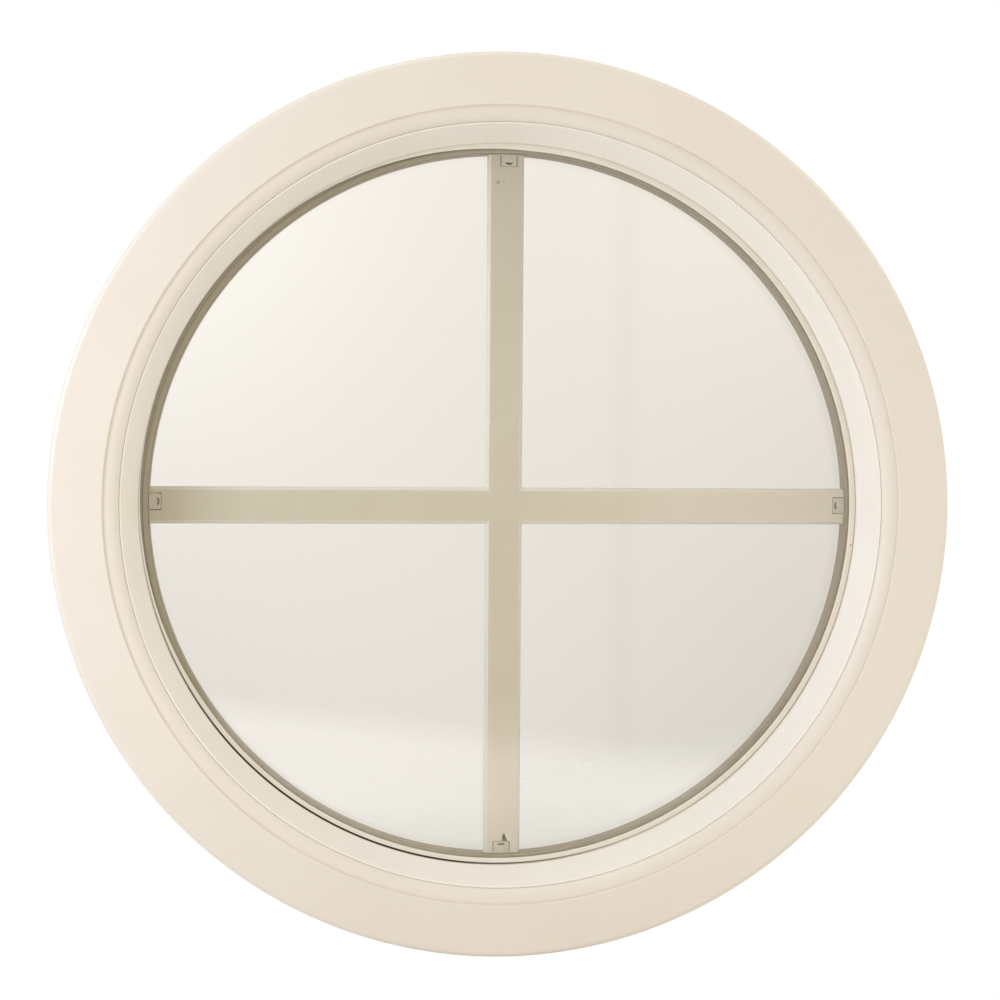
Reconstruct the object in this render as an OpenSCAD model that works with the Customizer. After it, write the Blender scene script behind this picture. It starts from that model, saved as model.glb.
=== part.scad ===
// Fixed round window: a hollow plastic frame ring, glazed with a sealed double pane
// that carries a flat cross grille between its two glasses.
// The window stands upright with its axis along Y and its moulded front towards -Y.
// The origin is on the axis, at half the depth of the frame.

/* [Frame] */
// Outer diameter of the frame ring
frame_d = 600; // [480:5:900]
// Depth of the frame from its front face to its back face
frame_depth = 70; // [66:1:90]
// Width of the flat front face
face_w = 35; // [30:1:60]
// Rounding of the rim at the front
rim_round = 4; // [1:0.5:8]
// Rounding of the rim at the back
back_round = 1.5; // [0.5:0.5:4]
// Thickness of the outer walls of the hollow profile
wall_t = 2.8; // [2:0.1:3.6]
// Thickness of the webs between the chambers
web_t = 1.5; // [1:0.1:2.5]
// Depth of the back leg that stops the glass
leg_t = 12; // [10:0.5:16]
// How far the sight edge of the back leg is bevelled away
leg_bevel = 4; // [1:0.5:6]
// Width of a drain slot
drain_w = 5; // [4:0.5:6]
// Length of a drain slot
drain_l = 28; // [15:1:40]
// Height of the inner drain slots above the back leg
drain_sill = 0.5; // [0.2:0.1:1]

/* [Moulding] */
// Step down from the face to the quirk
quirk_h = 1.5; // [0.8:0.1:3]
// Flat at the foot of the step
quirk_w = 1.2; // [0.5:0.1:3]
// Rounding of the arris above the step
arris_round = 0.7; // [0.2:0.1:0.7]
// Width of the convex moulding
ovolo_w = 8.8; // [6:0.2:14]
// Fall of the convex moulding
ovolo_h = 5; // [3:0.2:6]

/* [Glazing bead] */
// Visible joint between the frame and the bead
joint_gap = 0.5; // [0.2:0.05:1]
// Clearance of the bead in its seat
bead_fit = 0.2; // [0.1:0.05:0.4]
// Wall of the hollow bead
bead_wall = 1.6; // [1:0.1:2]
// Flat nose of the bead beside the joint
nose_w = 1; // [0.5:0.1:2]
// Thickness of the lip at the glass
lip_t = 1.4; // [0.8:0.1:2.5]
// How far the frame's nib reaches over the hook of the bead
nib_w = 2.5; // [1.5:0.1:4]
// Height of the nib, and of the hook under it
nib_h = 3; // [2:0.1:4]

/* [Glazing unit] */
// Thickness of each pane
pane_t = 4; // [3:0.5:6]
// Space between the panes
cavity_t = 12; // [10:0.5:16]
// Gap round the unit for the packers
edge_gap = 4.5; // [3:0.1:6]
// How far the bead and the back leg cover the edge of the glass
edge_cover = 7.7; // [6:0.1:9]
// Depth of the sealant behind the spacer
seal_w = 7.2; // [6:0.1:10]
// Height of the spacer section
spacer_h = 6.5; // [6:0.1:8]
// Sheet thickness of the spacer
spacer_wall = 0.5; // [0.3:0.05:0.8]
// Bevel of the spacer's outer corners
spacer_bevel = 2.5; // [1.5:0.1:3]
// Thickness of the butyl between spacer and pane
butyl_t = 0.4; // [0.2:0.05:0.8]
// Length of the plug that joins the ends of the spacer
key_l = 40; // [25:1:60]

/* [Gaskets] */
// Thickness of the gasket under the bead
bead_gasket_t = 2; // [1.8:0.1:3]
// How far the bead gasket shows past the lip, taken all round
gasket_show = 2.7; // [2.6:0.1:4]
// Open groove between the lip and the bulb of the gasket
gasket_groove = 0.35; // [0.2:0.05:1.2]
// Height of the bulb
bulb_h = 1.6; // [1.2:0.1:1.7]
// Rounding of the bulb at its inner edge
bulb_round = 0.4; // [0.2:0.1:0.5]
// How far the bead gasket has crept out of centre
gasket_slip = 0.7; // [0:0.1:0.7]
// Direction of the creep, anticlockwise from the right
gasket_slip_angle = 60; // [0:5:355]
// How far the opening of the bead gasket lies off centre
opening_off = 1.2; // [0:0.1:1.4]
// Direction of that, anticlockwise from the right
opening_angle = 165; // [0:5:355]
// Thickness of the gasket on the back leg
back_gasket_t = 3; // [2:0.1:4]
// How far the back gasket shows past the leg
back_gasket_show = 1.8; // [1:0.1:3]
// Width of the groove in the leg that holds the gasket's dart
dart_w = 2; // [1.5:0.1:3]
// Depth of that groove
dart_h = 2; // [1.5:0.1:2.5]

/* [Grille] */
// Width of a bar
bar_w = 25; // [22:0.5:40]
// Rounding of the edges of a bar
bar_round = 3; // [1:0.1:3.4]
// Sheet thickness of a bar
bar_wall = 0.8; // [0.5:0.1:1.2]
// Clearance between a bar and the panes
bar_clear = 2; // [1:0.1:2.3]
// Gap between a bar's end and the spacer
bar_end_gap = 0.4; // [0.2:0.1:1]
// Length of each leg of the joiner inside the crossing
joiner_l = 38; // [30:1:60]

/* [Keepers] */
// Width of the tab that shows in the bar's face
tab_w = 10.5; // [8:0.5:13]
// Length of the tab
tab_l = 7.5; // [6:0.5:10]
// Gap at each side of the tab; half of it shows at its front
tab_gap = 0.6; // [0.2:0.05:0.8]
// Length of the plug inside the bar
plug_l = 16; // [12:1:25]
// Width of the raised tongue on the tab, and of the slot at its tip
tongue_w = 5.4; // [4:0.1:7]
// Height of the tongue above the face of the bar
tongue_h = 0.5; // [0.2:0.1:0.8]
// Width of the slot, along the bar
slot_w = 1.6; // [1:0.1:2.2]
// Depth of the slot
slot_h = 2.5; // [1.5:0.1:3]
// Lip of the tab left past the slot
tab_lip = 0.9; // [0.6:0.1:1.5]
// Radius of the peg that enters the spacer
peg_r = 1.5; // [1:0.1:2]
// Length of the peg inside the spacer
peg_l = 3; // [2:0.1:3.5]
// Width of the tear above the bottom keeper
nick_w = 4.1; // [2:0.1:4.5]
// Length of the tear above the bottom keeper
nick_l = 5.3; // [2:0.1:8]
// Width of the sheet folded up along the tear
fold_w = 1.2; // [0.6:0.1:1.4]
// Height of that fold above the face of the bar
fold_h = 0.4; // [0.2:0.1:0.8]

/* [Packers] */
// Length of a glazing packer along the edge of the glass
packer_l = 50; // [30:1:80]
// Width of the drain channel under a packer
channel_w = 8; // [4:0.5:12]
// Thickness left over the drain channel
bridge_t = 2.2; // [1.5:0.1:2.5]

/* [Hidden] */
$fn = 120;
// How far a cutter runs past the face that it opens
over = 1;
// Clearance between pieces that are pushed together
fit = 0.1;
// Clearance between the mitred ends of the bars
mitre_fit = 0.02;
// Chambers of the frame, from back to front
chamber_count = 4;
// Least flat left along the edge of a bar
edge_flat = 0.4;
// Gap between the spacer's key and the drying beads
fill_gap = 2;
// Outline of the tear, as shares of its length and width; nought is the end beside the keeper
TEAR = [[0, 0], [0, 1], [-1, 0.4], [-0.92, 0.22], [-0.6, 0.04]];
// Outline of the fold, as shares of the same length and of its own width past the tear's right side
FOLD = [[0, 0], [-1, 0], [-0.94, 0.6], [-0.7, 1], [0, 1]];
// Sides of the grille and their directions, anticlockwise from the right
SIDES = ["right", "top", "left", "bottom"];
SIDE_ANGLES = [0, 90, 180, 270];
// How far the tab of each keeper sits off the middle of its bar, anticlockwise
TAB_OFFS = [0.8, -1.9, -2.5, -0.5];
// Middles of the packers, anticlockwise from the right
PACKER_ANGLES = [0, 60, 120, 180, 240, 300];
// Middle of the joint in the spacer, anticlockwise from the right
key_angle = 30;
// Drain slots lie this far either side of the lowest point
drain_in_angle = 8;
drain_out_angle = 14;

// Radii, from the rim inwards
rim_r = frame_d / 2;
face_r = rim_r - face_w;
ovolo_top_r = face_r - quirk_w;
ovolo_r = ovolo_top_r - ovolo_w;
rebate_r = ovolo_r + nib_w;
glass_r = rebate_r - edge_gap;
sight_r = glass_r - edge_cover;
spacer_out_r = glass_r - seal_w;
spacer_in_r = spacer_out_r - spacer_h;
shoulder_r = spacer_out_r - spacer_bevel;

// Planes along the axis, counted forwards from the middle of the frame
front_f = frame_depth / 2;
back_f = -front_f;
leg_f = back_f + leg_t;
back_glass_f = leg_f + back_gasket_t;
cavity_back_f = back_glass_f + pane_t;
cavity_front_f = cavity_back_f + cavity_t;
front_glass_f = cavity_front_f + pane_t;
lip_f = front_glass_f + bead_gasket_t;
quirk_f = front_f - quirk_h;
ovolo_f = quirk_f - ovolo_h;
nib_f = ovolo_f - nib_h;
cavity_f = (cavity_back_f + cavity_front_f) / 2;

// Arc of the convex moulding: level at its top, steep at the joint
ovolo_arc = (ovolo_w * ovolo_w + ovolo_h * ovolo_h) / (2 * ovolo_h);

// Chambers of the frame
chamber_h = (frame_depth - 2 * wall_t - (chamber_count - 1) * web_t) / chamber_count;
front_chamber_f = front_f - wall_t - chamber_h;

// Bead: the sloped face runs from the nose down to the lip
neck_r = ovolo_r - joint_gap;
bead_back_r = rebate_r - bead_fit;
hook_f = nib_f - bead_fit;
lip_top_f = lip_f + lip_t;
bead_lean = (neck_r - nose_w - sight_r) / (ovolo_f - lip_top_f);
bead_skin = bead_wall * sqrt(1 + bead_lean * bead_lean);
function bead_face_r(f) = sight_r + (f - lip_top_f) * bead_lean;

// Bars and keepers
bar_t = cavity_t - 2 * bar_clear;
bar_l = sqrt(spacer_in_r * spacer_in_r - bar_w * bar_w / 4) - bar_end_gap;
bar_front_f = cavity_f + bar_t / 2;
function foot_l(i) = sqrt(pow(spacer_in_r, 2) - pow(tab_w / 2 + abs(TAB_OFFS[i]), 2)) - fit;
tab_start = bar_l - tab_l;
notch_start = tab_start - tab_gap / 2;

// Slot at the tip of the tongue: a circle's segment, straight towards the spacer
slot_x = tab_start + tab_lip + slot_w;
slot_r = (tongue_w * tongue_w / 4 + slot_w * slot_w) / (2 * slot_w);
// Circle whose cap is the section of the tongue
tongue_r = (tongue_w * tongue_w / 4 + tongue_h * tongue_h) / (2 * tongue_h);

// Angles that the plug, the drying beads and a packer take up on their rings
key_span = key_l / spacer_in_r * 180 / PI;
fill_span = 360 - (key_l + 2 * fill_gap) / spacer_in_r * 180 / PI;
packer_span = packer_l / glass_r * 180 / PI;

// Colours of the materials
CREAM = "#efe5d6";
GASKET = "#d3c9b6";
GLASS = [0.86, 0.90, 0.87, 0.35];
SPACER = "#95897a";
BAR = "#cbbd9f";
KEEPER = "#d5cab0";
BLACK = "#2b2a28";
SEAL = "#7d705d";
BEADS = "#c9b9a0";
PACKER = "#4a6ea8";

// Everything is drawn lying on its back, with x to the right, y up and z forwards,
// then stood up so that z points to -Y.
module upright() rotate([90, 0, 0]) children();

// A ring from a section drawn as radius and forward distance
module ring() upright() rotate_extrude() children();

// Part of a ring, centred on an angle
module arc(middle, span) upright() rotate([0, 0, middle - span / 2]) rotate_extrude(angle = span) children();

// Rectangle of a section between two radii and two planes
module slab(r0, r1, f0, f1) translate([r0, f0]) square([r1 - r0, f1 - f0]);

// Waste that rounds a convex corner of a section; side_r and side_f point out of the solid
module corner_waste(r, f, round_r, side_r, side_f) {
    reach = round_r + over;
    translate([r - side_r * round_r, f - side_f * round_r])
        difference() {
            translate([min(0, side_r * reach), min(0, side_f * reach)]) square(reach);
            circle(round_r);
        }
}

// Flat bar section with rounded edges, shrunk all round by inset
module bar_section(inset) {
    w = bar_w - 2 * inset;
    t = bar_t - 2 * inset;
    round_r = min(bar_round, (bar_t - edge_flat) / 2) - inset;
    square([w - 2 * round_r, t], center = true);
    square([w, t - 2 * round_r], center = true);
    for (sx = [-1, 1], sy = [-1, 1])
        translate([sx * (w / 2 - round_r), sy * (t / 2 - round_r)]) circle(round_r);
}

// A length of that section along x, from x0 to x1, at the middle of the cavity
module bar_run(x0, x1, inset)
    translate([x0, 0, cavity_f]) rotate([90, 0, 90]) linear_extrude(x1 - x0) bar_section(inset);

// Outline of the spacer section, shrunk all round by inset
function spacer_outline(inset) = let (
        half = cavity_t / 2 - butyl_t - inset,
        ease = inset * (sqrt(2) - 1),
        s = shoulder_r - ease,
        o = spacer_out_r - inset,
        i = spacer_in_r + inset,
        back = cavity_t / 2 - butyl_t - spacer_bevel - ease)
    [for (p = [[i, -half], [s, -half], [o, -back], [o, back], [s, half], [i, half]]) p + [0, cavity_f]];

// Frame

module moulding_waste() {
    slab(ovolo_r - over, face_r, quirk_f, front_f + over);
    difference() {
        slab(ovolo_r - over, ovolo_top_r, ovolo_f, quirk_f);
        translate([ovolo_top_r, quirk_f - ovolo_arc]) circle(ovolo_arc);
    }
}

// Groove in the back leg for the dart of the back gasket, and the dart itself with an inset
module dart_groove(inset) {
    r0 = sight_r + wall_t;
    slab(r0 + inset, r0 + dart_w - inset, leg_f - dart_h + inset, leg_f + over);
}

module frame_outline() {
    difference() {
        union() {
            slab(rebate_r, rim_r, back_f, front_f);
            slab(ovolo_r, rebate_r, nib_f, front_f);
            slab(sight_r, rebate_r, back_f, leg_f);
        }
        moulding_waste();
        corner_waste(face_r, front_f, arris_round, -1, 1);
        corner_waste(rim_r, front_f, rim_round, 1, 1);
        corner_waste(rim_r, back_f, back_round, 1, -1);
        polygon([[sight_r - over, leg_f - web_t], [sight_r, leg_f - web_t], [sight_r + leg_bevel, back_f],
            [sight_r + leg_bevel, back_f - over], [sight_r - over, back_f - over]]);
        dart_groove(0);
    }
}

module frame_chambers() {
    for (i = [0 : chamber_count - 1]) {
        f0 = back_f + wall_t + i * (chamber_h + web_t);
        is_front = i == chamber_count - 1;
        slab(is_front ? face_r + wall_t : rebate_r + wall_t, rim_r - wall_t, f0, f0 + chamber_h);
    }
    // Small chamber behind the moulding
    slab(rebate_r + wall_t, face_r + wall_t - web_t, front_chamber_f, ovolo_f);
    // Branch of the back chamber into the leg
    slab(sight_r + leg_bevel + wall_t, rebate_r + wall_t + over, back_f + wall_t, leg_f - wall_t);
}

// Slot with round ends, long along y and cut along x from x0 to x1, at the height z
module slot_along_x(x0, x1, z) {
    half = (drain_l - drain_w) / 2;
    for (s = [-1, 1])
        translate([x0, s * half, z]) rotate([0, 90, 0]) cylinder(r = drain_w / 2, h = x1 - x0);
    translate([x0, -half, z - drain_w / 2]) cube([x1 - x0, 2 * half, drain_w]);
}

// The same slot cut along z from z0 to z1, at the radius x
module slot_along_z(x, z0, z1) {
    half = (drain_l - drain_w) / 2;
    for (s = [-1, 1])
        translate([x, s * half, z0]) cylinder(r = drain_w / 2, h = z1 - z0);
    translate([x - drain_w / 2, -half, z0]) cube([drain_w, 2 * half, z1 - z0]);
}

module outer_frame() color(CREAM) {
    slot_f = leg_f + drain_w / 2 + drain_sill;
    difference() {
        ring() frame_outline();
        ring() frame_chambers();
        upright() for (s = [-1, 1]) {
            rotate([0, 0, 270 + s * drain_in_angle])
                slot_along_x(rebate_r - over, rebate_r + wall_t + over, slot_f);
            rotate([0, 0, 270 + s * drain_out_angle])
                slot_along_z((rebate_r + rim_r) / 2, back_f - over, back_f + wall_t + over);
        }
    }
}

module glazing_bead() color(CREAM) ring() {
    bottom_f = lip_f + bead_wall;
    top_f = hook_f - nib_h;
    difference() {
        polygon([[sight_r, lip_f], [bead_back_r, lip_f], [bead_back_r, hook_f], [neck_r, hook_f],
            [neck_r, ovolo_f], [neck_r - nose_w, ovolo_f], [sight_r, lip_top_f]]);
        polygon([[bead_face_r(bottom_f) + bead_skin, bottom_f], [bead_back_r - bead_wall, bottom_f],
            [bead_back_r - bead_wall, top_f], [bead_face_r(top_f) + bead_skin, top_f]]);
    }
}

// Gaskets

// Section of the bead gasket before its opening is cut: foot under the bead, groove, bulb
module bead_gasket_section() {
    root_r = sight_r + gasket_groove;
    bulb_out_r = sight_r - gasket_groove;
    uncut_r = sight_r - gasket_show - opening_off - over;
    difference() {
        union() {
            slab(root_r, glass_r - over, front_glass_f, lip_f);
            slab(uncut_r, root_r, front_glass_f, front_glass_f + bulb_h / 2);
            slab(uncut_r, bulb_out_r, front_glass_f, front_glass_f + bulb_h);
        }
        corner_waste(bulb_out_r, front_glass_f + bulb_h, bulb_round / 2, 1, 1);
    }
}

module bead_gasket() color(GASKET) upright() difference() {
    opening_r = sight_r - gasket_show;
    translate(gasket_slip * [cos(gasket_slip_angle), sin(gasket_slip_angle), 0])
        rotate_extrude() bead_gasket_section();
    translate(opening_off * [cos(opening_angle), sin(opening_angle), 0]) rotate_extrude() {
        slab(0, opening_r, front_glass_f - over, lip_f + over);
        corner_waste(opening_r, front_glass_f + bulb_h, bulb_round, -1, 1);
    }
}

module back_gasket() color(GASKET) ring() {
    nose_round = back_gasket_t / 2;
    difference() {
        union() {
            slab(sight_r - back_gasket_show, glass_r - over, leg_f, back_glass_f);
            dart();
        }
        corner_waste(sight_r - back_gasket_show, leg_f, nose_round, -1, -1);
    }
}

module dart()
    intersection() {
        dart_groove(fit);
        slab(sight_r, glass_r, back_f, leg_f + fit);
    }

// Glazing unit

module pane(back, front) ring() slab(0, glass_r, back, front);

module front_pane() color(GLASS) pane(cavity_front_f, front_glass_f);

module back_pane() color(GLASS) pane(back_glass_f, cavity_back_f);

// Radial holes for the pegs, from inside the spacer to a radius
module peg_holes(radius, end_r) upright() for (a = SIDE_ANGLES)
    rotate([0, 0, a]) translate([spacer_in_r - over, 0, cavity_f]) rotate([0, 90, 0])
        cylinder(r = radius, h = end_r - spacer_in_r + over);

module spacer() color(SPACER) difference() {
    ring() difference() {
        polygon(spacer_outline(0));
        polygon(spacer_outline(spacer_wall));
    }
    peg_holes(peg_r + fit, spacer_in_r + spacer_wall + over);
    upright() rotate([0, 0, key_angle]) translate([spacer_in_r - over, -fit, cavity_back_f])
        cube([spacer_h + 2 * over, 2 * fit, cavity_t]);
}

module spacer_key() color(BLACK) arc(key_angle, key_span) polygon(spacer_outline(spacer_wall + fit));

module desiccant() color(BEADS) difference() {
    arc(key_angle + 180, fill_span) polygon(spacer_outline(spacer_wall + fit));
    peg_holes(peg_r + 2 * fit, spacer_in_r + peg_l + 2 * fit);
}

module butyl(f0) ring() slab(spacer_in_r + butyl_t, shoulder_r - butyl_t, f0, f0 + butyl_t);

module front_butyl() color(SEAL) butyl(cavity_front_f - butyl_t);

module back_butyl() color(SEAL) butyl(cavity_back_f);

module edge_sealant() color(SEAL) ring() {
    half = cavity_t / 2 - butyl_t;
    inner = [[shoulder_r, cavity_t / 2], [shoulder_r, half + fit], [spacer_out_r + fit, half - spacer_bevel],
        [spacer_out_r + fit, spacer_bevel - half], [shoulder_r, -half - fit], [shoulder_r, -cavity_t / 2]];
    edge = [[glass_r - butyl_t, -cavity_t / 2], [glass_r - butyl_t, cavity_t / 2]];
    polygon([for (p = concat(inner, edge)) p + [0, cavity_f]]);
}

// Grille

// A bar points along x; its inner end is mitred to a right-angled point at the crossing
module bar(i) color(BAR) upright() rotate([0, 0, SIDE_ANGLES[i]]) {
    far = bar_l + over;
    difference() {
        intersection() {
            difference() {
                bar_run(0, bar_l, 0);
                bar_run(-over, far, bar_wall);
            }
            translate([0, 0, cavity_back_f]) linear_extrude(cavity_t)
                polygon([[mitre_fit, 0], [far, far - mitre_fit], [far, mitre_fit - far]]);
        }
        translate([notch_start, TAB_OFFS[i] - tab_w / 2 - tab_gap, cavity_f])
            cube([far - notch_start, tab_w + 2 * tab_gap, cavity_t]);
        if (SIDES[i] == "bottom") tear();
    }
    if (SIDES[i] == "bottom") fold();
}

// Torn corner of the sheet above the bottom keeper, right of its middle
module tear() translate([notch_start, 0, cavity_f]) linear_extrude(cavity_t)
    polygon([for (p = TEAR) [p[0] < 0 ? p[0] * nick_l : over, p[1] * nick_w]]);

// Sheet folded up along the right side of the tear
module fold() translate([notch_start, 0, bar_front_f - bar_wall / 2]) linear_extrude(bar_wall / 2 + fold_h)
    polygon([for (p = FOLD) [p[0] * nick_l, (1 + p[0] * (1 - TEAR[2][1])) * nick_w + p[1] * fold_w]]);

module cross_joiner() color(BLACK) upright() for (a = [0, 90])
    rotate([0, 0, a]) bar_run(-joiner_l, joiner_l, bar_wall + fit);

// Keeper: a plug and a foot at the bar's end, a tab in the notch of the bar's face, and a peg
module keeper(i) color(KEEPER) upright() rotate([0, 0, SIDE_ANGLES[i]]) {
    difference() {
        union() {
            bar_run(bar_l - plug_l, bar_l + fit, bar_wall + fit);
            intersection() {
                bar_run(bar_l + fit, spacer_in_r, 0);
                translate([0, 0, cavity_back_f]) cylinder(r = spacer_in_r - fit, h = cavity_t);
            }
            translate([tab_start, TAB_OFFS[i] - tab_w / 2, cavity_f])
                cube([foot_l(i) - tab_start, tab_w, bar_front_f - cavity_f]);
            translate([0, TAB_OFFS[i], 0]) tongue(foot_l(i));
        }
        translate([0, TAB_OFFS[i], 0]) slot();
    }
    translate([bar_l - over, 0, cavity_f]) rotate([0, 90, 0])
        cylinder(r = peg_r, h = spacer_in_r + peg_l - bar_l + over);
}

// Raised tongue along the middle of the tab, from the slot to the foot
module tongue(end_x) translate([slot_x, 0, bar_front_f - bar_wall]) rotate([90, 0, 90])
    linear_extrude(end_x - slot_x) intersection() {
        translate([0, bar_wall + tongue_h - tongue_r]) circle(tongue_r);
        translate([-tongue_w / 2, 0]) square([tongue_w, bar_wall + tongue_h]);
    }

// Slot in the tab, with its round side towards the middle of the window
module slot() translate([slot_x, 0, bar_front_f - slot_h]) linear_extrude(slot_h + over) intersection() {
    translate([slot_r - slot_w, 0]) circle(slot_r);
    translate([-slot_w - over, -tongue_w / 2]) square([slot_w + over, tongue_w]);
}

// Packers

module packer(i) color(PACKER) arc(PACKER_ANGLES[i], packer_span) difference() {
    slab(glass_r + fit, rebate_r - fit, back_glass_f - over, front_glass_f + over);
    slab(glass_r + fit + bridge_t, rebate_r, cavity_f - channel_w / 2, cavity_f + channel_w / 2);
}

outer_frame();
glazing_bead();
bead_gasket();
back_gasket();
front_pane();
back_pane();
spacer();
spacer_key();
desiccant();
front_butyl();
back_butyl();
edge_sealant();
for (i = [0 : 3]) bar(i);
cross_joiner();
for (i = [0 : 3]) keeper(i);
for (i = [0 : 5]) packer(i);
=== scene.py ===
# Fixed round window: cream plastic ring, sloped bead, sealed double pane, flat cross grille.
# The axis is Y and the moulded front looks towards -Y. Sizes are millimetres until a mesh is made.
import math

import bmesh
import bpy
from mathutils import Matrix, Vector


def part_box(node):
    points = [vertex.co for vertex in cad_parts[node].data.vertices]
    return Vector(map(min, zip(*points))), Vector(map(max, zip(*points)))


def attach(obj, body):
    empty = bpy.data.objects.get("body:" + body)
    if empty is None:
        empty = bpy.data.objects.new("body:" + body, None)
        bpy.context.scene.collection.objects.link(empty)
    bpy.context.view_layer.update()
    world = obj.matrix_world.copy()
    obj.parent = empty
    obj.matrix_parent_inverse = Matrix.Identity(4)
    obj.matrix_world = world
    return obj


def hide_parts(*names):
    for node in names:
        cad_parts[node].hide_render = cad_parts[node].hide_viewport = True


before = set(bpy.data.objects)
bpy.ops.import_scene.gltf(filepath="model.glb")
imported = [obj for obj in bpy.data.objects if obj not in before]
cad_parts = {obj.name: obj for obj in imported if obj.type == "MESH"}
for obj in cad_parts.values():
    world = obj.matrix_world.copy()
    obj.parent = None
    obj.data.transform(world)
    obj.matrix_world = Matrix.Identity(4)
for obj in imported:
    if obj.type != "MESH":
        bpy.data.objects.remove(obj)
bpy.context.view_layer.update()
scene = bpy.context.scene
scene.view_settings.view_transform = "Standard"
mm = 0.001
plainWhite = (1, 1, 1, 1)
print("frame loaded:", len(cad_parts), "nodes")


# Helpers

def feed(tree, socket, value):
    if isinstance(value, bpy.types.NodeSocket):
        tree.links.new(value, socket)
    else:
        socket.default_value = value


def addNode(tree, kind, inputs=None, **settings):
    node = tree.nodes.new(kind)
    for name, value in settings.items():
        setattr(node, name, value)
    for name, value in (inputs or {}).items():
        feed(tree, next(s for s in node.inputs if s.name == name and s.enabled), value)
    return node


def outlet(node, name=""):
    return next(s for s in node.outputs if s.enabled and name in ("", s.name))


def linearColour(hexColour):
    parts = [int(hexColour[i:i + 2], 16) / 255 for i in (1, 3, 5)]
    return tuple(p / 12.92 if p <= 0.04045 else ((p + 0.055) / 1.055) ** 2.4 for p in parts) + (1.0,)


def perSize(size):
    return 1 / (size * mm)  # texture scale that gives features of that many millimetres


def newPiece(name, mesh):
    piece = bpy.data.objects.new(name, mesh)
    scene.collection.objects.link(piece)
    return piece


def applyModifiers(piece):
    deps = bpy.context.evaluated_depsgraph_get()
    mesh = bpy.data.meshes.new_from_object(piece.evaluated_get(deps))
    piece.modifiers.clear()
    piece.data = mesh


def finishPiece(piece, node):
    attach(piece, "root")
    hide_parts(node)


# Materials

noiseDetail = {"plain": 4.0, "creaseShadeNoise": 5.0, "grain": 2.0, "lines": 3.0, "wave": 1.0}
bumpDepth = {"pvc": 0.05, "moulded": 0.08, "metal": 0.03, "glass": 1.0}
refraction = {"pvc": 1.53, "glass": 1.52}
fullShare = {"band": 0.3, "spot": 0.4}  # the part of a mark's half width that has its full strength


def startMaterial(name):
    material = bpy.data.materials.new(name)
    material.use_nodes = True
    tree = material.node_tree
    place = outlet(addNode(tree, "ShaderNodeTexCoord"), "Object")
    return material, tree, tree.nodes["Principled BSDF"], place


def reckon(tree, operation, first, second=0.0):
    node = addNode(tree, "ShaderNodeMath", operation=operation)
    for socket, value in zip(node.inputs, (first, second)):
        feed(tree, socket, value)
    return outlet(node)


def mixShaders(tree, share, first, second):
    both = addNode(tree, "ShaderNodeMixShader", {"Fac": share})
    tree.links.new(first, both.inputs[1])
    tree.links.new(second, both.inputs[2])
    return outlet(both)


def radiusAndDepth(tree, place):
    # distance from the window's axis, and distance along it, in metres
    parts = addNode(tree, "ShaderNodeSeparateXYZ", {"Vector": place})
    flat = addNode(tree, "ShaderNodeCombineXYZ", {"X": parts.outputs["X"], "Y": parts.outputs["Z"]})
    length = addNode(tree, "ShaderNodeVectorMath", {"Vector": outlet(flat)}, operation="LENGTH")
    return outlet(length, "Value"), parts.outputs["Y"]


def noise(tree, place, size, detail="plain"):
    return outlet(addNode(tree, "ShaderNodeTexNoise", {"Vector": place, "Scale": perSize(size),
                                                       "Detail": noiseDetail[detail]}), "Fac")


def ringLines(tree, place, size):
    # varies with the section only, so the lines run round the ring
    radius, depth = radiusAndDepth(tree, place)
    across = reckon(tree, "SUBTRACT", radius, depth)
    return outlet(addNode(tree, "ShaderNodeTexNoise", {"W": across, "Scale": perSize(size),
                                                       "Detail": noiseDetail["lines"]},
                          noise_dimensions="1D"), "Fac")


def remap(tree, value, low, high, toLow=0.0, toHigh=1.0):
    return outlet(addNode(tree, "ShaderNodeMapRange", {"Value": value, "From Min": low, "From Max": high,
                                                       "To Min": toLow, "To Max": toHigh}))


def blend(tree, share, first, second):
    colours = [linearColour(c) if isinstance(c, str) else c for c in (first, second)]
    return outlet(addNode(tree, "ShaderNodeMix", {"Factor": share, "A": colours[0], "B": colours[1]},
                          data_type="RGBA"))


def ringBand(tree, radius, low, high):
    # 1 in the middle of a band of radii, fading to 0 at its edges
    away = reckon(tree, "ABSOLUTE", reckon(tree, "SUBTRACT", radius, (low + high) / 2 * mm))
    half = (high - low) / 2 * mm
    return remap(tree, away, half, half * fullShare["band"])


def spotMask(tree, place, spots):
    # small marks at (x, z, radius, weight), seen from the front
    flat = outlet(addNode(tree, "ShaderNodeMapping", {"Vector": place, "Scale": (1.0, 0.0, 1.0)}))
    mask = 0.0
    for x, z, size, weight in spots:
        away = addNode(tree, "ShaderNodeVectorMath", {"Vector": flat}, operation="DISTANCE")
        away.inputs[1].default_value = (x * mm, 0, z * mm)
        spot = remap(tree, outlet(away, "Value"), size * mm, size * fullShare["spot"] * mm, 0.0, weight)
        mask = reckon(tree, "MAXIMUM", mask, spot)
    return mask


def dress(tree, shader, colour, roughness, height, strength, distance):
    bump = addNode(tree, "ShaderNodeBump", {"Height": height, "Strength": strength,
                                            "Distance": distance * mm})
    tree.links.new(colour, shader.inputs["Base Color"])
    tree.links.new(roughness, shader.inputs["Roughness"])
    tree.links.new(outlet(bump), shader.inputs["Normal"])


# the third tone of each look, laid in a narrow band of radii, is painted shade in the crease at the foot of
# a step
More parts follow.
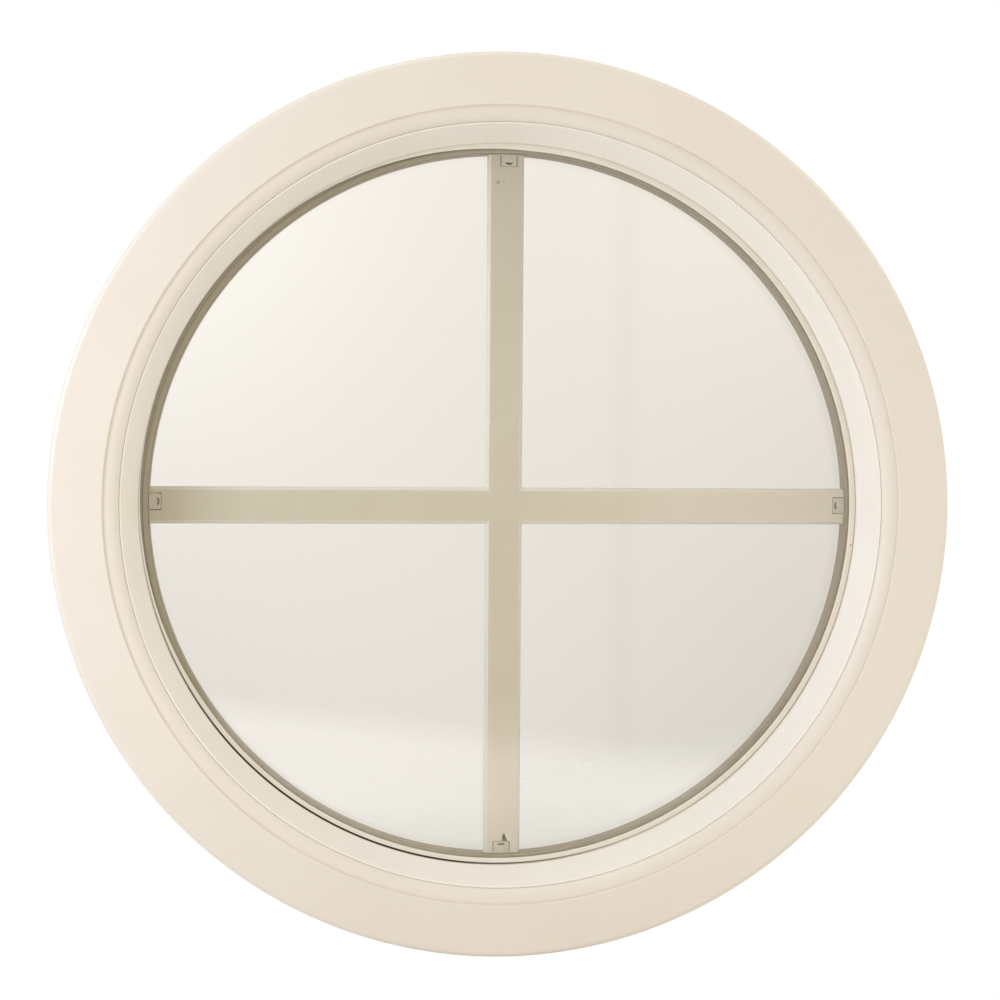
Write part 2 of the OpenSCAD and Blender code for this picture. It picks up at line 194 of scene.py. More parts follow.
framePvc = {"name": "extruded cream uPVC, satin", "base": "#eae0d2", "shade": "#e5dac9",
            "rough": (0.34, 0.46), "drift": 60, "dieLine": 1.1, "grain": 0.8, "bump": 0.10,
            "creaseShade": "#bfa98a", "creaseShadeBand": (263.6, 265.1), "creaseShadeWeight": 0.30, "creaseShadeNoise": 14}
beadPvc = {"name": "extruded cream uPVC, gloss", "base": "#faf3e6", "shade": "#f5eddf",
           "rough": (0.16, 0.24), "drift": 60, "dieLine": 1.6, "grain": 1.2, "bump": 0.05,
           "creaseShade": "#a8977c", "creaseShadeBand": (244.9, 245.8), "creaseShadeWeight": 0.35, "creaseShadeNoise": 14}


def makePvc(look):
    # uPVC pushed through a die and bent to a ring: soft cream, die lines run round it, painted shade in the
    # creases
    material, tree, shader, place = startMaterial(look["name"])
    radius = radiusAndDepth(tree, place)[0]
    drift = noise(tree, place, look["drift"])
    tone = blend(tree, drift, look["base"], look["shade"])
    # painted shade: a soft band round the foot of a step, broken up by noise
    band = reckon(tree, "MULTIPLY", ringBand(tree, radius, *look["creaseShadeBand"]), look["creaseShadeWeight"])
    creaseShadeNoise = reckon(tree, "MULTIPLY", band, noise(tree, place, look["creaseShadeNoise"], "creaseShadeNoise"))
    shaded = blend(tree, creaseShadeNoise, tone, look["creaseShade"])
    lines = ringLines(tree, place, look["dieLine"])
    relief = reckon(tree, "ADD", lines, noise(tree, place, look["grain"], "grain"))
    roughness = remap(tree, drift, 0.0, 1.0, *look["rough"])
    dress(tree, shader, shaded, roughness, relief, look["bump"], bumpDepth["pvc"])
    shader.inputs["IOR"].default_value = refraction["pvc"]
    return material


glassLook = {"tint": "#fbfbf9", "through": "#fdfdfb", "wave": 90, "waveBump": 0.004, "smear": 35,
             "smearStretch": (1.0, 1.0, 0.25), "smearRange": (0.5, 0.8), "rough": (0.0, 0.012)}


def makeGlass():
    # clear float glass: nearly colourless and flat, with faint wipe marks; lamps shine through it
    material, tree, shader, place = startMaterial("clear float glass")
    stretch = addNode(tree, "ShaderNodeMapping", {"Vector": place, "Scale": glassLook["smearStretch"]})
    smear = noise(tree, outlet(stretch), glassLook["smear"])
    marks = remap(tree, smear, *glassLook["smearRange"], *glassLook["rough"])
    bump = addNode(tree, "ShaderNodeBump", {"Height": noise(tree, place, glassLook["wave"], "wave"),
                                            "Strength": glassLook["waveBump"],
                                            "Distance": bumpDepth["glass"] * mm})
    shader.inputs["Base Color"].default_value = linearColour(glassLook["tint"])
    shader.inputs["Transmission Weight"].default_value = 1.0
    shader.inputs["IOR"].default_value = refraction["glass"]
    tree.links.new(marks, shader.inputs["Roughness"])
    tree.links.new(outlet(bump), shader.inputs["Normal"])
    clear = addNode(tree, "ShaderNodeBsdfTransparent", {"Color": linearColour(glassLook["through"])})
    ray = addNode(tree, "ShaderNodeLightPath")
    both = mixShaders(tree, ray.outputs["Is Shadow Ray"], shader.outputs["BSDF"], clear.outputs["BSDF"])
    tree.links.new(both, tree.nodes["Material Output"].inputs["Surface"])
    return material


# the dark tone of these looks marks real specks, and is also painted shade in the gasket's groove and in the
# keepers' slots and gaps
gasketLook = {"name": "moulded pale glazing gasket", "base": "#f2eadb", "shade": "#e8dfcd",
              "rough": (0.55, 0.7), "patch": 18, "grain": 0.5, "bump": 0.25, "dirtAndShade": "#3b3122",
              "grooveRadius": (244.75, 245.0), "grooveCentre": (0.35, 0, 0.606),
              "grooveShadePatch": ((-122, -212, 215, 1.0),), "spots": ((242.4, -26.4, 0.8, 0.6),)}
# in the bar's look the pale tones are painted light: painted highlights on the rounded edges and on the
# folded sheet, and painted light towards the right and the bottom
barLook = {"name": "beige paint on rolled aluminium", "base": "#e9dcc1", "shade": "#e2d4b7",
           "rough": (0.24, 0.34), "patch": 40, "grain": 1.3, "bump": 0.10, "dirtAndShade": "#8f7a50",
           "edge": "#fdf3df", "edgeHighlightDepth": (10, 3.97, 3.75), "paintedLight": "#f6e8ce",
           "paintedLightPatch": ((200, 0, 190, 1.0), (0, -215, 90, 0.9)), "foldHighlight": "#fffdf6",
           "foldHighlightDepth": (5.97, 5.8),
           "spots": ((-5.45, 220.1, 1.5, 0.65), (-1.7, 220.9, 1.2, 0.4))}
# in the keeper's look the dark tone below the face of the tab is painted shade, taken away at the listed
# spots
keeperLook = {"name": "beige moulded nylon", "base": "#ebe0c8", "shade": "#e3d7bd", "rough": (0.30, 0.42),
              "patch": 5, "grain": 0.4, "bump": 0.20, "dirtAndShade": "#6b5733", "deep": (6.2, 6.6),
              "deepReach": 238.4, "deepUnshaded": ((-0.5, -236.8, 8, 0.95), (1.9, 230.6, 2.6, 0.6),
                                                 (-233.2, 2.5, 2.4, 0.95), (-235.5, 7.2, 3.5, 0.9),
                                                 (233.2, 0.8, 2.4, 0.95), (235.5, -3.6, 3.5, 0.8)),
              "spots": ((235.9, -6.3, 1.0, 0.7), (236.0, -12.3, 1.0, 0.7), (228.6, -9.4, 1.1, 0.4),
                        (230.6, -9.4, 1.1, 0.4), (232.6, -9.4, 1.1, 0.4))}
sealantLook = {"name": "bronze-grey butyl and edge sealant", "base": "#d8c8a8", "shade": "#cdbc9b",
               "rough": (0.5, 0.7), "patch": 9, "grain": 0.8, "bump": 0.30}
innerLook = {"name": "black moulded nylon", "base": "#2e2d2b", "shade": "#252422", "rough": (0.4, 0.55),
             "patch": 6, "grain": 0.5, "bump": 0.20}
packerLook = {"name": "blue moulded packer", "base": "#4a6ea8", "shade": "#42649b", "rough": (0.4, 0.5),
              "patch": 8, "grain": 0.6, "bump": 0.20}
beadsLook = {"name": "packed drying beads", "base": "#cbbca2", "shade": "#a8987c", "rough": (0.7, 0.9),
             "patch": 1.6, "grain": 1.2, "bump": 0.90}


def makeMoulded(look):
    # plain moulded or painted stuff: two close tones in soft patches, a fine grain, uneven gloss, some dirt,
    # and in some looks painted shade and painted light
    material, tree, shader, place = startMaterial(look["name"])
    patch = noise(tree, place, look["patch"])
    tone = blend(tree, patch, look["base"], look["shade"])
    radius, depth = radiusAndDepth(tree, place)
    if "paintedLight" in look:
        # painted light: the bars lighter towards the right and the bottom
        tone = blend(tree, spotMask(tree, place, look["paintedLightPatch"]), tone, look["paintedLight"])
    if "edge" in look:
        # painted highlight on the rounded edges, either side of the middle of the bar's thickness
        middle, low, high = look["edgeHighlightDepth"]
        away = reckon(tree, "ABSOLUTE", reckon(tree, "SUBTRACT", depth, middle * mm))
        tone = blend(tree, remap(tree, away, low * mm, high * mm), tone, look["edge"])
    if "foldHighlight" in look:
        # painted highlight on the sheet folded up at the tear, which stands before the face
        tone = blend(tree, remap(tree, depth, *[d * mm for d in look["foldHighlightDepth"]]), tone, look["foldHighlight"])
    if "deep" in look:
        # painted shade in the slot and the gaps, below the face of the tab and short of the foot, less at
        # the bottom
        deep = remap(tree, depth, *[d * mm for d in look["deep"]])
        dirtAndShade = reckon(tree, "MULTIPLY", deep, reckon(tree, "LESS_THAN", radius, look["deepReach"] * mm))
        unshaded = spotMask(tree, place, look["deepUnshaded"])
        dirtAndShade = reckon(tree, "MULTIPLY", dirtAndShade, reckon(tree, "SUBTRACT", 1.0, unshaded))
        tone = blend(tree, dirtAndShade, tone, look["dirtAndShade"])
    if "grooveRadius" in look:
        # painted shade in the groove beside the bead, darkest at the lower left
        centre = [-c * mm for c in look["grooveCentre"]]
        moved = outlet(addNode(tree, "ShaderNodeMapping", {"Vector": place, "Location": centre}))
        groove = remap(tree, radiusAndDepth(tree, moved)[0], *[r * mm for r in look["grooveRadius"]])
        dirtAndShade = reckon(tree, "MULTIPLY", groove, spotMask(tree, place, look["grooveShadePatch"]))
        tone = blend(tree, dirtAndShade, tone, look["dirtAndShade"])
    if "spots" in look:
        tone = blend(tree, spotMask(tree, place, look["spots"]), tone, look["dirtAndShade"])
    roughness = remap(tree, patch, 0.0, 1.0, *look["rough"])
    grain = noise(tree, place, look["grain"], "grain")
    dress(tree, shader, tone, roughness, grain, look["bump"], bumpDepth["moulded"])
    return material


spacerLook = {"base": "#ab997a", "shade": "#9f8e6f", "metal": 0.25, "rough": (0.32, 0.45), "streak": 0.6,
              "bump": 0.05}


def makeSpacerMetal():
    # rolled aluminium strip, bronze toned: fine rolling streaks run round it
    material, tree, shader, place = startMaterial("rolled bronze aluminium")
    streak = ringLines(tree, place, spacerLook["streak"])
    tone = blend(tree, streak, spacerLook["base"], spacerLook["shade"])
    roughness = remap(tree, streak, 0.0, 1.0, *spacerLook["rough"])
    dress(tree, shader, tone, roughness, streak, spacerLook["bump"], bumpDepth["metal"])
    shader.inputs["Metallic"].default_value = spacerLook["metal"]
    return material


pvcFrame = makePvc(framePvc)
pvcBead = makePvc(beadPvc)
glass = makeGlass()
gasketRubber = makeMoulded(gasketLook)
barPaint = makeMoulded(barLook)
keeperNylon = makeMoulded(keeperLook)
sealant = makeMoulded(sealantLook)
innerNylon = makeMoulded(innerLook)
packerPlastic = makeMoulded(packerLook)
dryingBeads = makeMoulded(beadsLook)
spacerMetal = makeSpacerMetal()
print("materials ready")


# Rings: a section drawn as (radius, forward, rounding) is swept round the axis by Geometry Nodes

sweepSettings = {"segments": 360, "sharpAngle": 40, "arcStep": 12, "arcLeast": 3, "weld": 0.002}


def roundedOutline(corners):
    points = []
    for i, (r, f, rounding) in enumerate(corners):
        here = Vector((r, f))
        if not rounding:
            points.append(here)
            continue
        before = (Vector(corners[i - 1][:2]) - here).normalized()
        after = (Vector(corners[(i + 1) % len(corners)][:2]) - here).normalized()
        opening = before.angle(after)
        reach = rounding / math.tan(opening / 2)
        centre = here + (before + after).normalized() * rounding / math.sin(opening / 2)
        start = here + before * reach - centre
        end = here + after * reach - centre
        turn = math.pi - opening
        steps = math.ceil(math.degrees(turn) / sweepSettings["arcStep"])
        steps = max(sweepSettings["arcLeast"], steps)
        sign = 1 if start.x * end.y - start.y * end.x > 0 else -1
        for k in range(steps + 1):
            spoke = start.copy()
            spoke.rotate(Matrix.Rotation(sign * turn * k / steps, 2))
            points.append(centre + spoke)
    return points


def makeRingTree():
    tree = bpy.data.node_groups.new("ring sweep", "GeometryNodeTree")
    sockets = [("Section", "Geometry"), ("Path Radius", "Float"), ("Segments", "Int"), ("Slip", "Vector"),
               ("Material", "Material")]
    for name, kind in sockets:
        tree.interface.new_socket(name, in_out="INPUT", socket_type="NodeSocket" + kind)
    tree.interface.new_socket("Ring", in_out="OUTPUT", socket_type="NodeSocketGeometry")
    given = tree.nodes.new("NodeGroupInput").outputs
    path = addNode(tree, "GeometryNodeCurvePrimitiveCircle", {"Resolution": given["Segments"],
                                                              "Radius": given["Path Radius"]}, mode="RADIUS")
    section = addNode(tree, "GeometryNodeMeshToCurve", {"Mesh": given["Section"]})
    sweep = addNode(tree, "GeometryNodeCurveToMesh", {"Curve": outlet(path),
                                                      "Profile Curve": outlet(section)})
    # the sweep lies flat with its front down, so it is stood up and then slipped sideways
    stand = addNode(tree, "GeometryNodeTransform", {"Geometry": outlet(sweep), "Translation": given["Slip"],
                                                    "Rotation": (-math.pi / 2, 0, 0)})
    smooth = addNode(tree, "GeometryNodeSetShadeSmooth", {"Geometry": outlet(stand)})
    whole = addNode(tree, "GeometryNodeRealizeInstances", {"Geometry": outlet(smooth)})
    dressed = addNode(tree, "GeometryNodeSetMaterial", {"Geometry": outlet(whole),
                                                        "Material": given["Material"]})
    tree.links.new(outlet(dressed), tree.nodes.new("NodeGroupOutput").inputs["Ring"])
    return tree


ringTree = makeRingTree()


def makeRing(name, corners, material, slip=(0, 0, 0), cutters=(), bend=None):
    outline = roundedOutline(corners)
    pathRadius = outline[0].x
    mesh = bpy.data.meshes.new(name)
    points = [((p.x - pathRadius) * mm, p.y * mm, 0) for p in outline]
    mesh.from_pydata(points, [(i, (i + 1) % len(points)) for i in range(len(points))], [])
    ring = newPiece(name, mesh)
    sweep = ring.modifiers.new("sweep", "NODES")
    sweep.node_group = ringTree
    values = {"Path Radius": pathRadius * mm, "Segments": sweepSettings["segments"],
              "Slip": [s * mm for s in slip], "Material": material}
    for item in ringTree.interface.items_tree:
        if item.name in values:
            sweep[item.identifier] = values[item.name]
    for cutter in cutters:
        cut = ring.modifiers.new("cut", "BOOLEAN")
        cut.object = cutter
        cut.solver = "EXACT"
    applyModifiers(ring)
    for vertex in ring.data.vertices if bend else ():
        vertex.co = bend(vertex.co)
    tidyNormals(ring)
    for cutter in cutters:
        bpy.data.objects.remove(cutter)
    return ring


def weld(bm):
    bmesh.ops.remove_doubles(bm, verts=bm.verts, dist=sweepSettings["weld"] * mm)


def tidyNormals(piece):
    # faces point outwards, edges sharper than the limit stay crisp, flats keep flat shading
    bm = bmesh.new()
    bm.from_mesh(piece.data)
    weld(bm)
    bmesh.ops.recalc_face_normals(bm, faces=bm.faces)
    for face in bm.faces:
        face.smooth = True
    limit = math.radians(sweepSettings["sharpAngle"])
    for edge in bm.edges:
        edge.smooth = not (len(edge.link_faces) == 2 and edge.calc_face_angle(0) > limit)
    bm.to_mesh(piece.data)
    bm.free()
    weigh = piece.modifiers.new("flats", "WEIGHTED_NORMAL")
    weigh.keep_sharp = True
    applyModifiers(piece)


frameLow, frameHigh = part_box("outer_frame")
rimRadius = frameHigh.x / mm
frontPlane = -frameLow.y / mm
backPlane = -frameHigh.y / mm
glassFront = -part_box("front_pane")[0].y / mm
glassBack = -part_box("back_pane")[1].y / mm
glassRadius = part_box("front_pane")[1].x / mm

frameSize = {"faceWidth": 35, "rimRound": 4, "backRound": 1.5, "arrisRound": 0.7, "quirkDepth": 1.5,
             "quirkWidth": 1.2, "ovoloWidth": 8.8, "ovoloFall": 5, "ovoloSteps": 10, "nibWidth": 2.5,
             "nibHeight": 3, "sightRadius": 245.3, "legDepth": 12, "legBevel": 4, "legFlat": 1.5,
             "edge": 0.4, "quirkRound": 0.15}
drainSize = {"length": 28, "width": 5, "depth": 9, "angles": (256, 284), "endSteps": 12}


def makeSlotCutter(angle, radius):
    # a slot with round ends that follows the ring, cut into the back face
    bm = bmesh.new()
    half = (drainSize["length"] - drainSize["width"]) / 2
    outline = []
    for end in (1, -1):
        for k in range(drainSize["endSteps"] + 1):
            a = math.pi * k / drainSize["endSteps"] - math.pi / 2
            across = math.sin(a) * drainSize["width"] / 2
            along = math.cos(a) * drainSize["width"] / 2
            outline.append((-end * across, end * (half + along)))
    turn = Matrix.Rotation(-math.radians(angle), 4, "Y")
    floor = -backPlane - drainSize["depth"]
    base = [bm.verts.new(turn @ Vector(((radius + x) * mm, floor * mm, z * mm))) for x, z in outline]
    face = bm.faces.new(base)
    pushed = bmesh.ops.extrude_face_region(bm, geom=[face])["geom"]
    moved = [g for g in pushed if isinstance(g, bmesh.types.BMVert)]
    bmesh.ops.translate(bm, verts=moved, vec=(0, 2 * drainSize["depth"] * mm, 0))
    weld(bm)
    bmesh.ops.recalc_face_normals(bm, faces=bm.faces)
    mesh = bpy.data.meshes.new("slot cutter")
    bm.to_mesh(mesh)
    bm.free()
    return newPiece("slot cutter", mesh)


def makeFrameRing():
    s = frameSize
    faceRadius = rimRadius - s["faceWidth"]
    quirkPlane = frontPlane - s["quirkDepth"]
    ovoloTop = faceRadius - s["quirkWidth"]
    ovoloRadius = ovoloTop - s["ovoloWidth"]
    ovoloPlane = quirkPlane - s["ovoloFall"]
    rebate = ovoloRadius + s["nibWidth"]
    legPlane = backPlane + s["legDepth"]
    bow = (s["ovoloWidth"] ** 2 + s["ovoloFall"] ** 2) / (2 * s["ovoloFall"])
    sweepAngle = math.asin(s["ovoloWidth"] / bow)
    ovolo = []
    for k in range(s["ovoloSteps"] + 1):
        a = sweepAngle * k / s["ovoloSteps"]
        ovolo.append((ovoloTop - bow * math.sin(a), quirkPlane - bow * (1 - math.cos(a)), 0))
    corners = [(s["sightRadius"] + s["legBevel"], backPlane, s["edge"]),
               (rimRadius, backPlane, s["backRound"]), (rimRadius, frontPlane, s["rimRound"]),
               (faceRadius, frontPlane, s["arrisRound"]), (faceRadius, quirkPlane, s["quirkRound"])]
    corners += ovolo
    corners += [(ovoloRadius, ovoloPlane - s["nibHeight"], 0), (rebate, ovoloPlane - s["nibHeight"], 0),
                (rebate, legPlane, 0), (s["sightRadius"], legPlane, s["edge"]),
                (s["sightRadius"], legPlane - s["legFlat"], s["edge"])]
    cutters = [makeSlotCutter(angle, (rebate + rimRadius) / 2) for angle in drainSize["angles"]]
    ring = makeRing("frame_ring", corners, pvcFrame, cutters=cutters)
    finishPiece(ring, "outer_frame")
    return ovoloRadius, ovoloPlane, rebate


ovoloRadius, ovoloPlane, rebateRadius = makeFrameRing()
print("frame ring swept")

beadSize = {"jointGap": 0.15, "fit": 0.2, "nose": 1.0, "lip": 1.4, "noseRound": 0.35, "lipRound": 0.5,
            "footRound": 0.2}
# off keeps two faces that would lie on each other just apart, so that glass and rubber don't flicker
gasketSize = {"thick": 2.0, "show": 4.0, "groove": 0.35, "bulb": 1.6, "bulbRound": 0.55, "slip": 0.7,
              "slipAngle": 60, "cover": 1.0, "off": 0.03, "creepReach": 245.35, "creepAngle": 150,
              "creepCentre": 7.2, "least": 0.1, "toeRound": 0.2, "rootRound": 0.15, "heelRound": 0.1}
backGasketSize = {"thick": 3.0, "show": 1.8, "cover": 1.0, "noseRound": 1.45}


def makeBeadRing():
    sight = frameSize["sightRadius"]
    foot = glassFront + gasketSize["thick"]
    neck = ovoloRadius - beadSize["jointGap"]
    back = rebateRadius - beadSize["fit"]
    hook = ovoloPlane - frameSize["nibHeight"] - beadSize["fit"]
    corners = [(sight, foot, beadSize["footRound"]), (back, foot, 0), (back, hook, 0), (neck, hook, 0),
               (neck, ovoloPlane, beadSize["noseRound"]),
               (neck - beadSize["nose"], ovoloPlane, beadSize["noseRound"]),
               (sight, foot + beadSize["lip"], beadSize["lipRound"])]
    finishPiece(makeRing("bead_ring", corners, pvcBead), "glazing_bead")


def gasketSlip():
    a = math.radians(gasketSize["slipAngle"])
    return (gasketSize["slip"] * math.cos(a), 0, gasketSize["slip"] * math.sin(a))


def creepUnderBead(point):
    # the bulb reaches in to an even circle, but at the upper left it has crept under the bead
    s = gasketSize
    root = (frameSize["sightRadius"] + s["groove"]) * mm
    bulbIn = (frameSize["sightRadius"] - s["show"]) * mm
    slip = Vector(gasketSlip()) * mm
    flat = point - slip
    radius = math.hypot(flat.x, flat.z)
    if radius >= root:
        return point
    spoke = Vector((flat.x, 0, flat.z)) / radius
    away = math.atan2(flat.z, flat.x) - math.radians(s["creepAngle"])
    crept = s["creepReach"] - s["creepCentre"] * (1 - math.cos(away))
    inner = min(max(bulbIn, crept * mm), root - s["least"] * mm)
    start, end = slip + spoke * root, spoke * inner
    moved = start.lerp(end, (root - radius) / (root - bulbIn))
    return Vector((moved.x, point.y, moved.z))


def makeGaskets():
    s = gasketSize
    sight = frameSize["sightRadius"]
    root = sight + s["groove"]
    bulbOut = sight - s["groove"]
    bulbIn = sight - s["show"]
    outer = glassRadius - s["cover"]
    floor = glassFront + s["off"]
    heel = glassFront + s["bulb"] / 4
    top, crown = glassFront + s["thick"], glassFront + s["bulb"]
    corners = [(bulbIn, floor, s["toeRound"]), (outer, floor, 0), (outer, top, 0),
               (root, top, s["rootRound"]), (root, heel, s["heelRound"]), (bulbOut, heel, s["heelRound"]),
               (bulbOut, crown, s["bulbRound"] / 2), (bulbIn, crown, s["bulbRound"])]
    ring = makeRing("bead_gasket_ring", corners, gasketRubber, gasketSlip(), bend=creepUnderBead)
    finishPiece(ring, "bead_gasket")
    b = backGasketSize
    legPlane = glassBack - b["thick"]
    outer = glassRadius - b["cover"]
    roof = glassBack - s["off"]
    corners = [(sight - b["show"], legPlane, b["noseRound"]), (outer, legPlane, 0), (outer, roof, 0),
               (sight - b["show"], roof, 0)]
    finishPiece(makeRing("back_gasket_ring", corners, gasketRubber), "back_gasket")


makeBeadRing()
makeGaskets()
print("bead and gaskets swept")

spacerSize = {"sealant": 7.2, "height": 6.5, "bevel": 2.5, "butyl": 0.4, "edge": 0.35, "off": 0.03,
              "fit": 0.1, "bend": 0.3, "stripRound": 0.1}


def makeSpacerRing():
    s = spacerSize
    front = -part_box("spacer")[0].y / mm
    back = -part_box("spacer")[1].y / mm
    outer = glassRadius - s["sealant"]
    inner = outer - s["height"]
    shoulder, edge = outer - s["bevel"], glassRadius - s["butyl"]
    corners = [(inner, back, s["edge"]), (shoulder, back, s["bend"]), (outer, back + s["bevel"], s["bend"]),
               (outer, front - s["bevel"], s["bend"]), (shoulder, front, s["bend"]),
               (inner, front, s["edge"])]
    finishPiece(makeRing("spacer_ring", corners, spacerMetal), "spacer")
    # edge sealant behind the spacer, and butyl strips beside it, held just off the panes
    low, high = back - s["butyl"] + s["off"], front + s["butyl"] - s["off"]
    corners = [(edge, low, 0), (edge, high, 0), (shoulder, high, 0), (shoulder, front + s["fit"], 0),
               (outer + s["fit"], front - s["bevel"], 0), (outer + s["fit"], back + s["bevel"], 0),
               (shoulder, back - s["fit"], 0), (shoulder, low, 0)]
    finishPiece(makeRing("edge_sealant_ring", corners, sealant), "edge_sealant")
    strips = {"front_butyl": (front + s["off"], front + s["butyl"] - s["off"]),
              "back_butyl": (back - s["butyl"] + s["off"], back - s["off"])}
    for node, (low, high) in strips.items():
        near, far = inner + s["butyl"], shoulder - s["butyl"]
        corners = [(near, low, s["stripRound"]), (far, low, 0), (far, high, 0),
                   (near, high, s["stripRound"])]
        finishPiece(makeRing(node + "_strip", corners, sealant), node)


makeSpacerRing()
print("spacer swept")


# Grille: merged copies of the solids, with their hard edges eased

grilleSize = {"barEdge": 0.02, "keeperEdge": 0.18, "flatAngle": 0.5, "easeAngle": 50, "easeSteps": 2}


def easedCopy(node, name, material, edge):
    piece = newPiece(name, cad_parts[node].data.copy())
    piece.data.materials.clear()
    piece.data.materials.append(material)
    bm = bmesh.new()
    bm.from_mesh(piece.data)
    weld(bm)
    flat = math.radians(grilleSize["flatAngle"])
    bmesh.ops.dissolve_limit(bm, angle_limit=flat, verts=bm.verts, edges=bm.edges)
    for face in bm.faces:
        face.material_index = 0
    bm.to_mesh(piece.data)
    bm.free()
    ease = piece.modifiers.new("ease", "BEVEL")
    ease.width = edge * mm
    ease.segments = grilleSize["easeSteps"]
    ease.limit_method = "ANGLE"
    ease.angle_limit = math.radians(grilleSize["easeAngle"])
    applyModifiers(piece)
    tidyNormals(piece)
    finishPiece(piece, node)


for side in ("right", "top", "left", "bottom"):
    easedCopy("bar_" + side, "grille_bar_" + side, barPaint, grilleSize["barEdge"])
    easedCopy("keeper_" + side, "end_keeper_" + side, keeperNylon,
              grilleSize["keeperEdge"])
print("grille ready")


# Nodes that keep their solid

keptNodes = {"front_pane": glass, "back_pane": glass, "spacer_key": innerNylon, "desiccant": dryingBeads,
             "cross_joiner": innerNylon}
for number in range(1, 7):
    keptNodes["packer_%d" % number] = packerPlastic
for node, material in keptNodes.items():
    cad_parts[node].data.materials.clear()
    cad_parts[node].data.materials.append(material)
print("kept solids dressed")


# Stage, light and camera

stage = {"front": -1.4, "back": 1.0, "half": 2.0, "nearFade": (-0.98, -0.73), "farFade": (0.6, 0.3),
         "slant": -0.8, "glow": 0.50, "glowFade": (-0.25, -0.45), "sheet": "#f6f4f0", "rough": 0.8}


def makeFloor():
    # white sheet: plain white to the eye, lit like paper for light and glass, fading out before and behind
    low = frameLow.z
    half = stage["half"]
    corners = [(-half, stage["front"], low), (half, stage["front"], low), (half, stage["back"], low),
               (-half, stage["back"], low)]
    mesh = bpy.data.meshes.new("floor")
    mesh.from_pydata(corners, [], [(0, 1, 2, 3)])
    floor = newPiece("floor", mesh)
    material, tree, shader, place = startMaterial("white table sheet")
    shader.inputs["Base Color"].default_value = linearColour(stage["sheet"])
    shader.inputs["Roughness"].default_value = stage["rough"]
    shader.inputs["Emission Color"].default_value = plainWhite
    parts = addNode(tree, "ShaderNodeSeparateXYZ", {"Vector": place})
    glow = remap(tree, parts.outputs["Y"], *stage["glowFade"], 0.0, stage["glow"])
    tree.links.new(glow, shader.inputs["Emission Strength"])
    sideways = reckon(tree, "MULTIPLY", parts.outputs["X"], stage["slant"])
    away = reckon(tree, "ADD", parts.outputs["Y"], sideways)
    near, far = remap(tree, away, *stage["nearFade"]), remap(tree, away, *stage["farFade"])
    seen = reckon(tree, "MULTIPLY", near, far)
    ray = addNode(tree, "ShaderNodeLightPath")
    white = addNode(tree, "ShaderNodeEmission", {"Color": plainWhite, "Strength": 1.0})
    clear = addNode(tree, "ShaderNodeBsdfTransparent")
    sheet = mixShaders(tree, seen, outlet(clear), shader.outputs["BSDF"])
    both = mixShaders(tree, ray.outputs["Is Camera Ray"], sheet, outlet(white))
    tree.links.new(both, tree.nodes["Material Output"].inputs["Surface"])
    mesh.materials.append(material)


def direction(azimuth, rise):
    # azimuth is counted from the front towards the right
    a, e = math.radians(azimuth), math.radians(rise)
    return Vector((math.sin(a) * math.cos(e), -math.cos(a) * math.cos(e), math.sin(e)))


# Soft glows of the room: azimuth, rise, tightness, strength and colour
glows = [
    (0, 0, 0, 0.38, "#fffaf2"),
    (45, 8, 6, 0.82, "#fffcf8"),
    (-42, 4, 6, 0.24, "#fbfcff"),
    (80, 0, 10, 0.48, "#ffffff"),
    (-72, 6, 8, 1.7, "#f4f7ff"),
    (0, 88, 6, 0.80, "#ffffff"),
    (180, 5, 6, 0.44, "#fff6ea"),
    (-172, 14, 60, 0.45, "#f4f8ff"),
    (164, 14, 60, 0.22, "#fff9f1"),
    (-172, 4, 60, 0.13, "#f4f8ff"),
    (178, -11, 30, 0.14, "#f0f5ff"),
    (17, 4, 40, 0.36, "#ffffff"),
]
# An upright edge in the room that the glass mirrors as a faint line
doorEdge = {"azimuth": 10.3, "half": 0.011, "shade": 0.22}


def facing(tree, way, azimuth, rise):
    # 1 straight towards that place, 0 square to it
    towards = addNode(tree, "ShaderNodeVectorMath", {"Vector": way}, operation="DOT_PRODUCT")
    towards.inputs[1].default_value = direction(azimuth, rise)
    return outlet(towards, "Value")


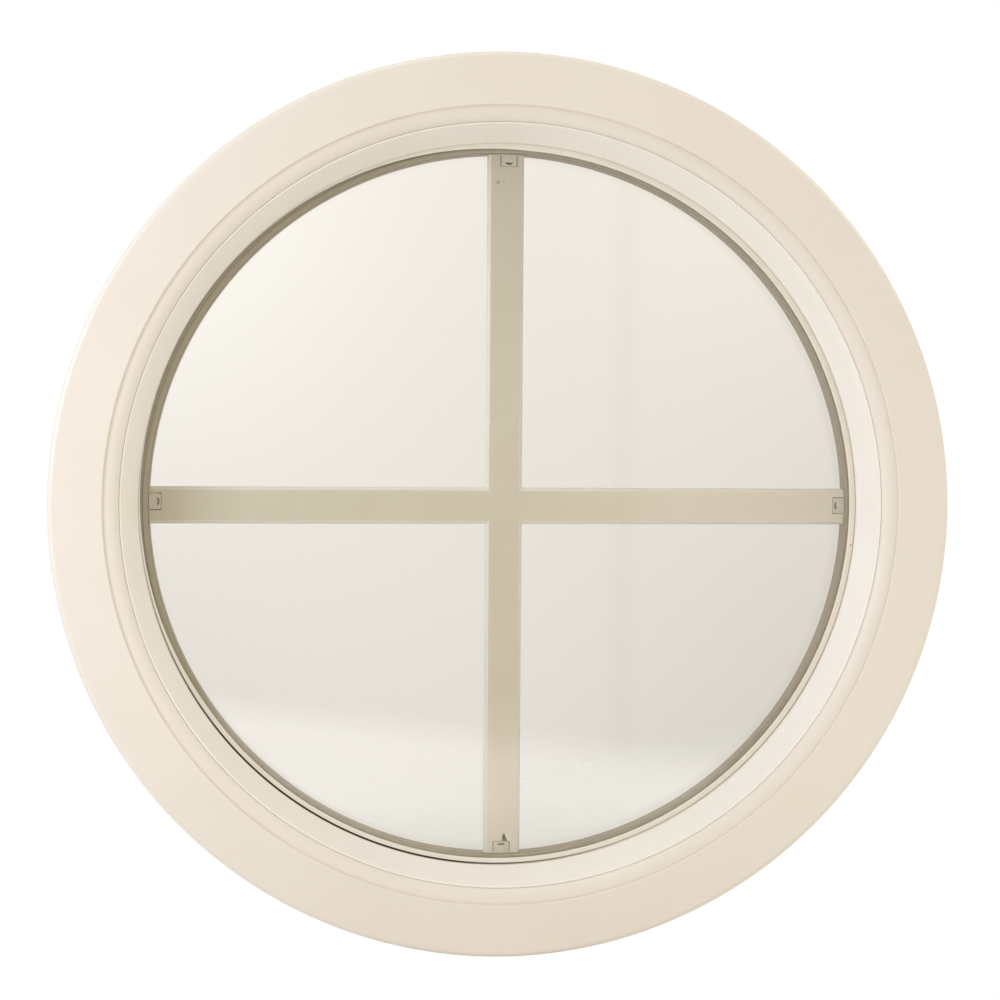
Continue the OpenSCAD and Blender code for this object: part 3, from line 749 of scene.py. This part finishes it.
def makeDome():
    # the camera sees plain white; light and glass see the glows
    world = bpy.data.worlds.new("studio")
    scene.world = world
    world.use_nodes = True
    tree = world.node_tree
    tree.nodes.clear()
    way = outlet(addNode(tree, "ShaderNodeTexCoord"), "Generated")
    total = (0.0, 0.0, 0.0)
    for azimuth, rise, tightness, strength, colour in glows:
        short = reckon(tree, "SUBTRACT", facing(tree, way, azimuth, rise), 1.0)
        fall = reckon(tree, "MULTIPLY", short, tightness)
        bell = reckon(tree, "MULTIPLY", reckon(tree, "EXPONENT", fall), strength)
        glow = addNode(tree, "ShaderNodeVectorMath", {"Vector": linearColour(colour)[:3], "Scale": bell},
                       operation="SCALE")
        both = addNode(tree, "ShaderNodeVectorMath", {"Vector": outlet(glow)}, operation="ADD")
        feed(tree, both.inputs[1], total)
        total = outlet(both)
    ahead = facing(tree, way, doorEdge["azimuth"], 0)
    beside = reckon(tree, "ABSOLUTE", facing(tree, way, doorEdge["azimuth"] + 90, 0))
    line = remap(tree, beside, doorEdge["half"], 0.0, 0.0, doorEdge["shade"])
    line = reckon(tree, "MULTIPLY", line, reckon(tree, "GREATER_THAN", ahead, 0.0))
    strength = reckon(tree, "SUBTRACT", 1.0, line)
    lit = addNode(tree, "ShaderNodeBackground", {"Color": total, "Strength": strength})
    plain = addNode(tree, "ShaderNodeBackground", {"Color": plainWhite, "Strength": 1.0})
    ray = addNode(tree, "ShaderNodeLightPath")
    both = mixShaders(tree, ray.outputs["Is Camera Ray"], outlet(lit), outlet(plain))
    tree.links.new(both, addNode(tree, "ShaderNodeOutputWorld").inputs["Surface"])


lamps = {
    "left pane": {"place": (-0.70, -0.35, 0.2), "size": (0.2, 0.3), "watts": 1.3, "colour": "#cfe0ff"},
    "right window": {"place": (1.2, -0.18, 0.9), "size": (0.4, 0.4), "watts": 3, "colour": "#fffaf2"},
    "ceiling": {"place": (-0.2, -0.3, 1.4), "size": (0.8, 0.4), "watts": 2, "colour": "#ffffff"},
}


def makeLamps():
    for name, look in lamps.items():
        light = bpy.data.lights.new(name, "AREA")
        light.shape = "RECTANGLE"
        light.size, light.size_y = look["size"]
        light.energy = look["watts"]
        light.color = linearColour(look["colour"])[:3]
        lamp = bpy.data.objects.new(name, light)
        lamp.location = look["place"]
        lamp.rotation_euler = (-Vector(look["place"])).to_track_quat("-Z", "Y").to_euler()
        lamp.visible_camera = False
        scene.collection.objects.link(lamp)


# originPixel is where the frame's origin shows in the 1000 pixel wide picture
eyeView = {"azimuth": -6.28, "elevation": 2.0, "distance": 1.15, "focal": 60.75, "sensor": 36.0,
           "pixels": 1000, "originPixel": (504.8, 506.1), "roll": 0.38}


def makeCamera():
    place = direction(eyeView["azimuth"], eyeView["elevation"]) * eyeView["distance"]
    data = bpy.data.cameras.new("eye")
    data.sensor_width = eyeView["sensor"]
    data.lens = eyeView["focal"]
    camera = bpy.data.objects.new("eye", data)
    perPixel = eyeView["sensor"] / eyeView["focal"] / eyeView["pixels"]
    middle = eyeView["pixels"] / 2
    turn = Matrix.Rotation((eyeView["originPixel"][0] - middle) * perPixel, 4, "Y")
    tilt = Matrix.Rotation((eyeView["originPixel"][1] - middle) * perPixel, 4, "X")
    roll = Matrix.Rotation(math.radians(eyeView["roll"]), 4, "Z")
    aim = (-place).to_track_quat("-Z", "Y").to_matrix().to_4x4()
    camera.matrix_world = Matrix.Translation(place) @ aim @ turn @ tilt @ roll
    scene.collection.objects.link(camera)
    scene.camera = camera


makeFloor()
makeDome()
makeLamps()
makeCamera()
print("stage ready")
